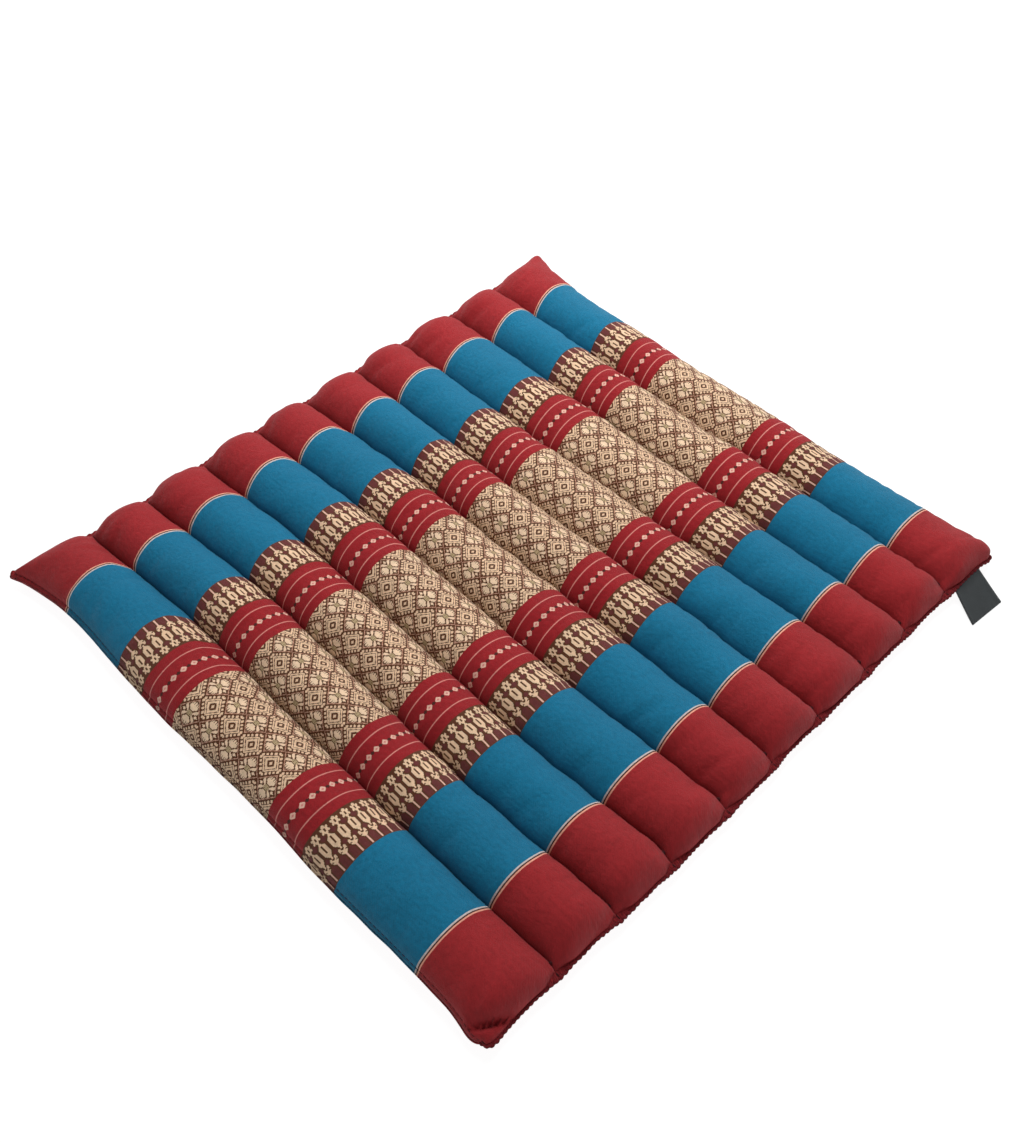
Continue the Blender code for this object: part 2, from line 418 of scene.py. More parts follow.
OVERCAST_SLANTS = (0.3, 0.9)
OVERCAST_GAPS = (0.75, 1.3)
# A dark thread down each crease at the near end is painted shade of the crease
TAIL_RADIUS = 0.0006
TAIL_OVERRUN = 0.004

# The studio: half the floor's side, the light from all round, and each lamp's place, the point
# that it aims at, its size and its power
FLOOR_SIZE = 3.0
WORLD_LIGHT = 0.30
LAMPS = {
    "key_light": ((0.38, 0.24, 1.05), (0.30, 0.22, 0.0), 0.7, 14.0),
    "back_light": ((0.85, 0.70, 0.50), (0.15, 0.05, 0.0), 0.7, 3.5),
}

# The camera, in the frame of the cushion's own sizes: its place, and its right, down and forward
# directions
CAMERA_PLACE = (-0.46348, -0.41604, 0.74385)
CAMERA_RIGHT = (0.70467, -0.70874, 0.03359)
CAMERA_DOWN = (-0.52956, -0.55684, -0.63992)
CAMERA_FORWARD = (0.47224, 0.43314, -0.76771)
SENSOR_WIDTH = 36.0
PHOTO_LONG_SIDE = 1143
FOCAL_PIXELS = 1298


def smooth_between(stations, values, place):
    """The values at places between stations, eased so that the run has no corners."""
    stations = np.asarray(stations, float)
    values = np.asarray(values, float)
    place = np.clip(place, stations[0], stations[-1])
    i = np.clip(np.searchsorted(stations, place) - 1, 0, len(stations) - 2)
    share = (place - stations[i]) / (stations[i + 1] - stations[i])
    start, end = values[i], values[i + 1]
    bend_in = 0.5 * (end - values[np.maximum(i - 1, 0)])
    bend_out = 0.5 * (values[np.minimum(i + 2, len(values) - 1)] - start)
    square, cube = share**2, share**3
    return (
        (2 * cube - 3 * square + 1) * start
        + (cube - 2 * square + share) * bend_in
        + (3 * square - 2 * cube) * end
        + (cube - square) * bend_out
    )


def eased(share):
    """0 to 1 with a soft start and end."""
    share = np.clip(share, 0.0, 1.0)
    return share * share * (3.0 - 2.0 * share)


def ripples(x, y, wavelength, seed, waves=14):
    """Seeded smooth unevenness over the plan, about -1 to 1."""
    random = np.random.default_rng(seed)
    total = 0.0
    for _ in range(waves):
        turn = random.uniform(0.0, math.tau)
        length = wavelength * random.uniform(0.7, 1.6)
        phase = random.uniform(0.0, math.tau)
        run = x * math.cos(turn) + y * math.sin(turn)
        total = total + np.sin(run * math.tau / length + phase)
    return total / math.sqrt(waves)


def side_edge(from_far, column):
    """How far outward a long side's lip reaches; column 1 is the left side and 2 the right."""
    table = np.array(SIDE_EDGES) * MM
    return smooth_between(table[:, 0], table[:, column], from_far)


def side_lip(side, from_far):
    """Width of the flat lip outside a side seam."""
    far, near = SIDE_LIPS[side]
    return far + (near - far) * from_far / LENGTH


def seam_x(seam, from_far):
    """X of a seam line: 0 and ROLLS are the stitched side seams, the rest are channels."""
    even = (seam - ROLLS / 2) * ROLL_PITCH
    if seam == 0:
        return even - side_edge(from_far, 1) + side_lip("left", from_far)
    if seam == ROLLS:
        return even + side_edge(from_far, 2) - side_lip("right", from_far)
    quarters = np.linspace(0.0, LENGTH, 5)
    run = smooth_between(quarters, np.array(CHANNEL_SEAMS[seam - 1]) * MM, from_far)
    wander = SEAM_WANDER * ripples(0.0, from_far, SEAM_WANDER_LENGTH, 40 + seam)
    lean = SEAM_LEAN * eased(from_far / SEAM_LEAN_LENGTH)
    turn = SEAM_TURN * eased((from_far - (LENGTH - SEAM_TURN_LENGTH - SEAM_STOP / 3)) / SEAM_TURN_LENGTH)
    return even + run + wander - lean - turn


def fullness(share):
    """Height of a stuffed section at a share of its width, round on top and steep at the seams."""
    leaned = share + SECTION_LEAN * share * share * (1.0 - share)
    across = np.abs(2.0 * leaned - 1.0)
    return np.maximum(1.0 - across**SECTION_SQUARENESS, 0.0) ** SECTION_STEEPNESS


def end_fullness(distance, end):
    """Height of a roll at a distance from its end seam: 0 at the seam, 1 past the taper."""
    short = 1.0 - np.clip(distance / END_TAPERS[end], 0.0, 1.0)
    return (1.0 - short**TAPER_SQUARENESS) ** TAPER_STEEPNESS


def seam_fill(distance):
    """Share of the swell that stays on a channel seam's line, past the seam's last stitch."""
    return SWELL_PAST_STOP * eased(1.0 - distance / SEAM_STOP)


def seam_height(distance, end, middle=CHANNEL_HEIGHT):
    """Height of a seam at a distance from the nearer end, from its height far from both ends."""
    towards_end = 1.0 - np.clip(distance / END_DROP_LENGTH, 0.0, 1.0)
    return middle + (END_HEIGHTS[end] - middle) * towards_end * towards_end


def columns_across():
    """(roll, share across the roll, share out over the side lip) of each line of points."""
    turns = np.linspace(0.0, math.pi, CELLS_ACROSS_ROLL + 1)[:-1]
    lip = np.linspace(1.0, 0.0, CELLS_ON_SIDE_LIP + 1)[:-1]
    on_lips = (len(lip), len(lip) + 1)
    roll = np.pad(np.repeat(np.arange(ROLLS), CELLS_ACROSS_ROLL), on_lips, "edge")
    share = np.tile(0.5 - 0.5 * np.cos(turns), ROLLS)
    share = np.pad(share, on_lips, constant_values=(0.0, 1.0))
    middle = np.zeros(ROLLS * CELLS_ACROSS_ROLL + 1)
    return roll, share, np.concatenate([lip, middle, lip[::-1]])


def rows_along():
    """(share of the way from the far end seam to the near one, share out over the end lip)."""
    taper = np.linspace(0.0, 1.0, CELLS_ON_TAPER + 1) ** 2
    far = END_TAPERS["far"] * taper / LENGTH
    near = 1.0 - END_TAPERS["near"] * taper[::-1] / LENGTH
    middle = np.linspace(far[-1], near[0], CELLS_ALONG_MIDDLE + 1)[1:-1]
    lip = np.linspace(1.0, 0.0, CELLS_ON_END_LIP + 1)[:-1]
    along = np.concatenate([np.zeros(len(lip)), far, middle, near, np.ones(len(lip))])
    out = np.concatenate([lip, np.zeros(len(far) + len(middle) + len(near)), lip[::-1]])
    return along, out


def on_outer_side(columns):
    """True for the lines of points on the outer half of the first and the last roll."""
    roll, share, _ = columns
    return ((roll == 0) & (share < 0.5)) | ((roll == ROLLS - 1) & (share > 0.5))


def end_edge(columns, end):
    """(outer edge of the lip, its inner edge) of one end, as distances from the middle."""
    roll, share, lip = columns
    outward = np.array([row[1 if end == "far" else 2] for row in ROLL_SHAPES])
    own = outward[roll]
    neighbour = np.clip(np.where(share < 0.5, roll - 1, roll + 1), 0, ROLLS - 1)
    shared = 0.5 * (own + outward[neighbour])
    middle = 1.0 - np.abs(2.0 * share - 1.0) ** END_BOW_SQUARENESS
    outer = LENGTH / 2 + (shared + (own - shared) * middle) * MM - END_BOW_OF_LIP * middle
    pull = np.where(share < 0.5, *(CORNERS[side, end][0] for side in ("left", "right")))
    outer = outer - pull * MM * lip - ROPE_INSET[end]
    from_seam = np.where(share < 0.5, share / NOTCH_SHARES[0], (1.0 - share) / NOTCH_SHARES[1])
    at_seam = eased(1.0 - from_seam)
    corner = on_outer_side(columns)
    width_at_seam = np.where(corner, END_LIP_AT_CORNERS[end], END_LIP_AT_SEAMS[end])
    outer = outer - np.where(corner, 0.0, LIP_DRAWN_IN[end]) * at_seam
    return outer, outer - END_LIP[end] - width_at_seam * at_seam


def by_end(at_far, work, distance):
    """What a function of a distance and an end gives, for whichever end a point belongs to."""
    return np.where(at_far, work(distance, "far"), work(distance, "near"))


def full_corner(across, ending):
    """Swell near a corner of the cushion, fuller than the two tapers' product."""
    least = 1e-4
    total = sum(np.maximum(part, least) ** -CORNER_FULLNESS for part in (across, ending))
    return np.maximum((total - 1.0) ** (-1.0 / CORNER_FULLNESS) - least, 0.0)


def corner_tip(side, end):
    """(x, y) of a corner's tip."""
    from_far = 0.0 if end == "far" else LENGTH
    sign = -1.0 if side == "left" else 1.0
    x = sign * (ROLLS / 2 * ROLL_PITCH + float(side_edge(from_far, 1 if side == "left" else 2)))
    y = LENGTH / 2 - CORNERS[side, end][0] * MM
    return x, y if end == "far" else -y


def corner_lift(x, y):
    """How far the seams rise towards the corners' tips."""
    lift = 0.0
    for corner, (_, height, *_) in CORNERS.items():
        tip = corner_tip(*corner)
        gap = np.hypot(x - tip[0], y - tip[1])
        lift = lift + height * MM * np.exp(-((gap / CORNER_LIFT_REACH) ** 2))
    return lift


def folded_corner(x, y, swell):
    """The swell with the ear of the near left corner cut off by its crease."""
    tip = corner_tip("left", "near")
    along_end, up_side = x - tip[0], y - tip[1]
    size = math.hypot(CREASE_UP_SIDE, CREASE_ALONG_END)
    inward = along_end * CREASE_UP_SIDE + (up_side - CREASE_UP_SIDE) * CREASE_ALONG_END
    inward = inward / size
    body = np.clip(inward / CREASE_BODY_REACH, 0.0, 1.0)
    body = np.sqrt(1.0 - (1.0 - body) ** 2)
    ear = EAR_FULLNESS * (1.0 - np.exp(-((inward / EAR_REACH) ** 2)))
    near_corner = (along_end < FOLDED_CORNER_SIZE) & (up_side < FOLDED_CORNER_SIZE)
    return np.where(near_corner, swell * np.where(inward > 0.0, body, ear), swell)


def blunted(x, y):
    """Plan places with the four corners pushed out and their tips rounded."""
    new_x, new_y = x, y
    for corner, (_, _, radius, sideways, lengthways) in CORNERS.items():
        tip = corner_tip(*corner)
        out_x, out_y = math.copysign(1.0, tip[0]), math.copysign(1.0, tip[1])
        push = np.exp(-((np.hypot(x - tip[0], y - tip[1]) / CORNER_PUSH_REACH) ** 2)) * MM
        round_size = radius * MM
        aside = np.clip(1.0 - (tip[0] - x) * out_x / round_size, 0.0, 1.0)
        ahead = np.clip(1.0 - (tip[1] - y) * out_y / round_size, 0.0, 1.0)
        drawn_aside = aside * (1.0 - np.sqrt(1.0 - ahead**2 / 2.0)) * round_size
        drawn_ahead = ahead * (1.0 - np.sqrt(1.0 - aside**2 / 2.0)) * round_size
        new_x = new_x + out_x * (push * sideways - drawn_aside)
        new_y = new_y + out_y * (push * lengthways - drawn_ahead)
    return new_x, new_y


def surface(columns, rows, side):
    """Points of the top (side 1) or the underside (side -1), without the cloth's own folds.

    Gives x, y, z and the swell, an array each.
    """
    roll, share, lip = columns
    along, out = (value[:, None] for value in rows)
    far_outer, far = end_edge(columns, "far")
    near_outer, near = end_edge(columns, "near")
    y = far - (near + far) * along
    from_end = np.minimum(far - y, y + near)
    at_far = along < 0.5
    y = y + np.where(at_far, (far_outer - far) * out, -(near_outer - near) * out)
    from_far = np.clip(LENGTH / 2 - y, 0.0, LENGTH)
    left = np.empty_like(y)
    right = np.empty_like(y)
    for index in range(ROLLS):
        own = roll == index
        left[:, own] = seam_x(index, from_far[:, own])
        right[:, own] = seam_x(index + 1, from_far[:, own])
    at_right = share > 0.5
    lip_width = np.where(at_right, side_lip("right", from_far), -side_lip("left", from_far))
    x = left + (right - left) * share + lip_width * lip
    outer_side = on_outer_side(columns)
    side_share = np.where(outer_side, eased(2.0 * np.abs(share - 0.5)), 0.0)
    middle_height = CHANNEL_HEIGHT + (SIDE_SEAM_HEIGHT - CHANNEL_HEIGHT) * side_share
    seam_by_end = [seam_height(from_end, end, middle_height) for end in ("far", "near")]
    seam = np.where(at_far, *seam_by_end) + corner_lift(x, y)
    seam = seam - np.where(at_right, RIGHT_LIP_DROP, LEFT_LIP_DROP) * lip
    across = fullness(share)
    across = across + (1.0 - across) * seam_fill(from_end) * np.where(outer_side, 0.0, 1.0)
    ending = by_end(at_far, end_fullness, from_end)
    swell = np.where(outer_side, full_corner(across, ending), across * ending)
    swell = folded_corner(x, y, swell)
    x, y = blunted(x, y)
    round_lip = LIP_ROUND * np.sin(math.pi * lip)
    if side > 0:
        skin = seam + SEAM_THICKNESS / 2
        crest = THICKNESS * np.array([row[0] for row in ROLL_SHAPES])[roll]
        z = skin + (crest - skin) * swell + round_lip
    else:
        skin = seam - SEAM_THICKNESS / 2
        z = np.maximum(0.0, skin - BELLY * swell - round_lip)
    return x, y, z, swell


def normals_of(points):
    """Unit normals of a grid of points that runs along -Y by rows and along +X by columns."""
    along = np.gradient(points, axis=0)
    across = np.gradient(points, axis=1)
    normal = np.cross(along, across)
    return normal / np.maximum(np.linalg.norm(normal, axis=2, keepdims=True), 1e-12)


def pinches(columns, x, y, side):
    """Depth of the small tucks that the channel seams draw into the cloth beside them."""
    roll, share, _ = columns
    depth = np.zeros_like(x)
    for seam in range(0, ROLLS + 1):
        random = np.random.default_rng(700 + 20 * seam + side)
        place = -LENGTH / 2 + random.uniform(FIRST_PINCH, PINCH_SPACING)
        near = ((roll == seam) & (share < 0.5)) | ((roll == seam - 1) & (share >= 0.5))
        gap = np.abs(x[:, near] - seam_x(seam, np.clip(LENGTH / 2 - y[:, near], 0.0, LENGTH)))
        fade = gap / PINCH_REACH * np.exp(1.0 - gap / PINCH_REACH)
        while place < LENGTH / 2:
            from_end = LENGTH / 2 - abs(place)
            at_end = eased(1.0 - from_end / PINCHED_END)
            size = PINCH_DEPTH + (PINCH_DEPTH_AT_ENDS - PINCH_DEPTH) * at_end
            size *= random.uniform(*PINCH_SIZES)
            half = PINCH_HALF_LENGTH * random.uniform(*PINCH_LENGTHS)
            lean = random.uniform(*PINCH_LEANS) * gap
            depth[:, near] += size * fade * np.exp(-(((y[:, near] - place - lean) / half) ** 2))
            place += PINCH_SPACING * random.uniform(*PINCH_GAPS)
    return depth


def folded(columns, rows, side):
    """The points of one side of the cover with the cloth's own folds and unevenness."""
    x, y, z, swell = surface(columns, rows, side)
    points = np.stack([x, y, z], axis=2)
    normal = normals_of(points) * (1.0 if side > 0 else -1.0)
    seed = 11 if side > 0 else 31
    rise = LUMP_HEIGHT * ripples(x, y, LUMP_LENGTH, seed)
    rise = rise + DIMPLE_HEIGHT * ripples(x, y, DIMPLE_LENGTH, seed + 1)
    rise = rise * np.clip(swell * 1.5, 0.0, 1.0)
    rise = rise - pinches(columns, x, y, side) * np.clip(swell * 4.0, 0.0, 1.0)
    points = points + normal * rise[:, :, None]
    lip = np.maximum(columns[2], rows[1][:, None])
    wander = LIP_WAVE_WANDER * ripples(x, 0.0, LIP_WAVE_WANDER_LENGTH, 5)
    wave = np.sin(x * math.tau / LIP_WAVE_PITCH + wander)
    points[:, :, 2] += LIP_WAVE * wave * rows[1][:, None] * (1.0 - columns[2])
    points[:, :, 2] += LIP_WAVE * ripples(0.0, y, SIDE_WAVE_LENGTH, 9) * lip * columns[2]
    points[:, :, 2] = np.maximum(points[:, :, 2], 0.0)
    return points


def cloth_places(columns, rows, points):
    """(thread place, band place) of every top point, in mm on the flat cloth."""
    roll = columns[0]
    middle = len(rows[0]) // 2
    across = run_lengths(points[middle])
    left_seams = across[CELLS_ON_SIDE_LIP + CELLS_ACROSS_ROLL * np.arange(ROLLS)]
    shapes = np.array(ROLL_SHAPES)
    thread_place = (across - left_seams[roll]) / MM + shapes[roll, 6]
    share = columns[1]
    towards_next = eased((share - SHIFT_HELD_TO) / (1.0 - SHIFT_HELD_TO))
    following = np.minimum(roll + 1, ROLLS - 1)
    own = shapes[roll, 3:6].T
    far_shift, middle_shift, near_shift = own + (shapes[following, 3:6].T - own) * towards_next
    dip = BAND_DIP * (np.clip(1.0 - 2.0 * share, 0.0, 1.0) ** 1.5 + towards_next)
    far_share = np.clip(points[:, :, 1] / BAND_SHIFT_REACH, 0.0, 1.0)
    near_share = np.clip(-points[:, :, 1] / BAND_SHIFT_REACH, 0.0, 1.0)
    shift = middle_shift + (far_shift + dip - middle_shift) * far_share
    shift = shift + (near_shift - middle_shift) * near_share
    off = (FIELD_MIDDLE - points[:, :, 1]) / MM - shift
    table = np.array(BAND_PLACES)
    far = -np.interp(-off, table[:, 0], table[:, 2])
    near = np.interp(off, table[:, 1], table[:, 2])
    return np.broadcast_to(thread_place, off.shape), np.where(off < 0, far, near)


def grid_faces(count_rows, count_columns, start, upward):
    """Quads of a grid of points that is stored row by row."""
    corner = np.arange(count_rows * count_columns).reshape(count_rows, count_columns) + start
    ring = [corner[:-1, :-1], corner[1:, :-1], corner[1:, 1:], corner[:-1, 1:]]
    if not upward:
        ring.reverse()
    return np.stack(ring, axis=2).reshape(-1, 4)


def rim_of(count_rows, count_columns):
    """Indices of a grid's outermost points, once round."""
    corner = np.arange(count_rows * count_columns).reshape(count_rows, count_columns)
    return np.concatenate([corner[:, 0], corner[-1, 1:], corner[-2::-1, -1], corner[0, -2:0:-1]])


def add_object(name, data):
    """An object in the scene for a mesh, a light or a camera."""
    thing = bpy.data.objects.new(name, data)
    bpy.context.scene.collection.objects.link(thing)
    return thing


def add_piece(name, points, faces, materials):
    """A smooth mesh from points and faces, with its materials."""
    data = bpy.data.meshes.new(name)
    data.from_pydata(np.asarray(points).tolist(), [], [list(map(int, face)) for face in faces])
    for material in materials:
        data.materials.append(material)
    data.shade_smooth()
    data.validate()
    piece = add_object(name, data)
    return piece


def write_places(piece, thread_place, band_place, gathered=0.0):
    """Stores where each point lies on the flat cloth, and how far it is gathered, for the weave and its
    painted shade on gathered edges.
    """
    gathers = np.broadcast_to(gathered, thread_place.shape)
    places = np.stack([thread_place, band_place, gathers], axis=1)
    attribute = piece.data.attributes.new("cloth_place", "FLOAT_VECTOR", "POINT")
    attribute.data.foreach_set("vector", places.astype(np.float32).ravel())


def make_cover(shift, banded, plain):
    """The whole filled cover: the figured top, the plain underside and the rounded rim."""
    columns = columns_across()
    rows = rows_along()
    top = folded(columns, rows, 1)
    under = folded(columns, rows, -1)
    size = top.shape[:2]
    thread_place, band_place = cloth_places(columns, rows, top)
    count = size[0] * size[1]
    rim = rim_of(*size)
    top_rim = top.reshape(-1, 3)[rim]
    under_rim = under.reshape(-1, 3)[rim]
    middle_rim = 0.5 * (top_rim + under_rim)
    run = np.roll(middle_rim, -1, axis=0) - np.roll(middle_rim, 1, axis=0)
    outward = np.stack([run[:, 1] * -1.0, run[:, 0], np.zeros(len(rim))], axis=1)
    outward /= np.linalg.norm(outward, axis=1, keepdims=True)
    sign = np.sign(np.sum(outward * middle_rim * (1.0, 1.0, 0.0), axis=1).sum())
    middle_rim = middle_rim + outward * sign * EDGE_ROUND
    points = np.concatenate([top.reshape(-1, 3), under.reshape(-1, 3), middle_rim]) + shift
    round_rim = np.arange(len(rim)) + 2 * count
    wall = []
    for upper, lower in ((rim, round_rim), (round_rim, rim + count)):
        ring = [upper, lower, np.roll(lower, -1), np.roll(upper, -1)]
        wall.append(np.stack(ring, axis=1)[:, ::-1])
    top_faces = grid_faces(*size, 0, True)
    under_faces = grid_faces(*size, count, False)
    faces = np.concatenate([top_faces, wall[0], wall[1], under_faces])
    cover = add_piece("cover", points, faces, (banded, plain))
    plain_from = len(top_faces) + len(wall[0])
    index = (np.arange(len(faces)) >= plain_from).astype(np.int32)
    cover.data.polygons.foreach_set("material_index", index)
    gathered = np.maximum(rows[1][:, None] > 0.0, columns[2] > 0.5).astype(float)
    places = [value.ravel() for value in (thread_place, band_place, gathered)]
    write_places(cover, *(np.concatenate([value, value, value[rim]]) for value in places))
    return cover, top, under


def run_lengths(path):
    """Distance along a path of points at each point."""
    steps = np.linalg.norm(np.diff(path, axis=0), axis=1)
    return np.concatenate([[0.0], np.cumsum(steps)])


def resampled(path, step):
    """Points on a path at even steps, and the distance along it of each."""
    lengths = run_lengths(path)
    count = max(int(lengths[-1] / step), 2)
    at = np.linspace(0.0, lengths[-1], count + 1)
    return np.stack([np.interp(at, lengths, path[:, axis]) for axis in range(3)], axis=1), at


def tube_faces(rings, sides):
    """Faces of a tube of rings of points, and of both its ends."""
    index = np.arange(rings * sides).reshape(rings, sides)
    following = np.roll(index, -1, axis=1)
    wall = np.stack([index[:-1], following[:-1], following[1:], index[1:]], axis=2)
    return wall.reshape(-1, 4).tolist() + [index[0][::-1].tolist(), index[-1].tolist()]


def make_rope(name, path, end, material, shift):
    """The overcast edge of one end: a narrow roll of cloth, drawn into slanting bumps."""
    line, at = resampled(path, ROPE_STEP)
    random = np.random.default_rng(3 if end == "near" else 4)
    change = ROPE_PITCH_CHANGE * ripples(at, 0.0, ROPE_PITCH_CHANGE_LENGTH, 61)
    pitch = ROPE_PITCH * (1.0 + change)
    turns = np.cumsum(ROPE_STEP / pitch)
    stations = np.arange(0.0, at[-1] + 2 * ROPE_UNEVEN_STEP, ROPE_UNEVEN_STEP)
    uneven = np.interp(at, stations, random.uniform(*ROPE_UNEVENNESS, len(stations)))
    forward = np.gradient(line, axis=0)
    forward /= np.linalg.norm(forward, axis=1, keepdims=True)
    outward = np.cross(forward, (0.0, 0.0, 1.0))
    outward /= np.linalg.norm(outward, axis=1, keepdims=True)
    upward = np.cross(outward, forward)
    ends = np.clip(np.minimum(at, at[-1] - at) / ROPE_END_TAPER, ROPE_LEAST_END, 1.0)
    sides = []
    for side in range(ROPE_SIDES):
        angle = side / ROPE_SIDES * math.tau
        bump = np.abs(np.sin(math.pi * turns + 0.5 * angle)) ** ROPE_SHARPNESS
        radius = (ROPE_RADIUS[end] + ROPE_BUMP[end] * uneven * bump) * ends
        way = outward * math.cos(angle) + upward * math.sin(angle)
        sides.append(line + way * radius[:, None])
    points = np.stack(sides, axis=1).reshape(-1, 3)
    points[:, 2] = np.maximum(points[:, 2], 0.0)
    rope = add_piece(name, points + shift, tube_faces(len(line), ROPE_SIDES), (material,))
    around = np.tile(np.arange(ROPE_SIDES), len(line)) * ROPE_CLOTH_STEP
    write_places(rope, np.repeat(at / MM, ROPE_SIDES), around)
    return rope


def small_capsule(rings=4, sides=5):
    """Points and faces of a unit capsule along X, from -1 to 1, with a radius of 1 across."""
    angle = math.pi * (np.arange(rings)[:, None] + 0.5) / rings
    turn = math.tau * np.arange(sides) / sides
    radius = np.sin(angle)
    parts = np.broadcast_arrays(-np.cos(angle), radius * np.cos(turn), radius * np.sin(turn))
    return np.stack(parts, axis=2).reshape(-1, 3), tube_faces(rings, sides)


def laid_between(shape, start, end, radius, share=1.0, rise=0.0):
    """A unit capsule's points, laid over a share of the way from start to end."""
    length = np.linalg.norm(end - start)
    forward = (end - start) / length
    across = np.cross((0.0, 0.0, 1.0), forward)
    across /= np.linalg.norm(across)
    upward = np.cross(forward, across)
    turned = np.array([forward * length / 2 * share, across * radius, upward * radius])
    return (start + end) / 2 + upward * rise + shape @ turned


def stitches_on(path, pitch, radius):
    """A row of machine stitches along a path, each as points and faces."""
    line, _ = resampled(path, pitch)
    shape, faces = small_capsule()
    pairs = zip(line, line[1:])
    return [(laid_between(shape, start, end, radius, STITCH_SHARE), faces) for start, end in pairs]


def add_sewing(name, parts, material, shift):
    """One piece of many small parts, each given as points and faces."""
    points, faces, offset = [], [], 0
    for part_points, part_faces in parts:
        points.append(part_points)
        faces += [tuple(index + offset for index in face) for face in part_faces]
        offset += len(part_points)
    return add_piece(name, np.concatenate(points) + shift, faces, (material,))


def seam_path(seam, side):
    """The line of a channel seam's stitches on the top or the underside."""
    from_far = np.linspace(SEAM_STOP, LENGTH - SEAM_STOP, SEAM_POINTS)
    from_end = np.minimum(from_far, LENGTH - from_far)
    height = by_end(from_far < LENGTH / 2, seam_height, from_end)
    skin = height + side * (SEAM_THICKNESS / 2 + STITCH_RADIUS * 0.4)
    return np.stack([seam_x(seam, from_far), LENGTH / 2 - from_far, skin], axis=1)


def make_channel_stitches(material, shift):
    """The stitches of the nine channel seams, on the top and on the underside."""
    parts = []
    for seam in range(1, ROLLS):
        for side in (1, -1):
            parts += stitches_on(seam_path(seam, side), CHANNEL_STITCH, STITCH_RADIUS)
    return add_sewing("channel_stitches", parts, material, shift)


def make_lip_stitches(top, under, material, shift):
    """The rows of stitches along the two side seams, on both faces of the lip."""
    parts = []
    for column in (CELLS_ON_SIDE_LIP, -1 - CELLS_ON_SIDE_LIP):
        for points, side in ((top, 1), (under, -1)):
            path = points[LIP_ROWS_LEFT_OUT:-LIP_ROWS_LEFT_OUT, column].copy()
            path[:, 2] += side * STITCH_RADIUS * 0.5
            parts += stitches_on(path, LIP_STITCH, STITCH_RADIUS)
    return add_sewing("lip_stitches", parts, material, shift)


def make_knots(material, shift):
    """The small thread knots where each channel seam stops short of the two ends."""
    random = np.random.default_rng(12)
    parts = []
    shape, faces = small_capsule(7, 8)
    for seam in range(1, ROLLS):
        for end, from_far in (("far", SEAM_STOP), ("near", LENGTH - SEAM_STOP)):
            height = float(seam_height(SEAM_STOP, end)) + SEAM_THICKNESS / 2 + KNOT_HEIGHTS[end]
            centre = np.array([float(seam_x(seam, from_far)), LENGTH / 2 - from_far, height])
            size = KNOT_RADIUS * random.uniform(*KNOT_SIZES, 3)
            spin = np.array(Matrix.Rotation(-random.uniform(-KNOT_TURN, KNOT_TURN), 3, "Z"))
            parts.append((centre + (shape * size) @ spin, faces))
    return add_sewing("seam_knots", parts, material, shift)


def make_overcast(top, material, shift):
    """The slanting stitches that bind the gathered lip of the near end."""
    outer, inner = top[-1], top[-1 - CELLS_ON_END_LIP]
    random = np.random.default_rng(21)
    lengths = run_lengths(outer)
    shape, faces = small_capsule()
    parts = []
    at = OVERCAST_PITCH
    while at < lengths[-1] - OVERCAST_PITCH:
        over = at + OVERCAST_PITCH * random.uniform(*OVERCAST_SLANTS)
        start = np.array([np.interp(at, lengths, outer[:, axis]) for axis in range(3)])
        end = np.array([np.interp(over, lengths, inner[:, axis]) for axis in range(3)])
        at += OVERCAST_PITCH * random.uniform(*OVERCAST_GAPS)
        rise = OVERCAST_RADIUS * OVERCAST_RISE
        parts.append((laid_between(shape, start, end, OVERCAST_RADIUS, 1.0, rise), faces))
    return add_sewing("edge_stitches", parts, material, shift)


def make_crease_shade_tails(top, material, shift):
    """Dark thread laid down each crease from the seam's last stitch to the near edge, as painted shade
    of the crease.
    """
    parts = []
    for seam in range(1, ROLLS):
        column = top[:, CELLS_ON_SIDE_LIP + CELLS_ACROSS_ROLL * seam]
        from_edge = column[:, 1] + LENGTH / 2
        path = column[(from_edge < SEAM_STOP) & (from_edge > -TAIL_OVERRUN)].copy()
        path[:, 2] += TAIL_RADIUS * 0.4
        parts += stitches_on(path, CHANNEL_STITCH, TAIL_RADIUS)
    return add_sewing("crease_shade_tails", parts, material, shift)


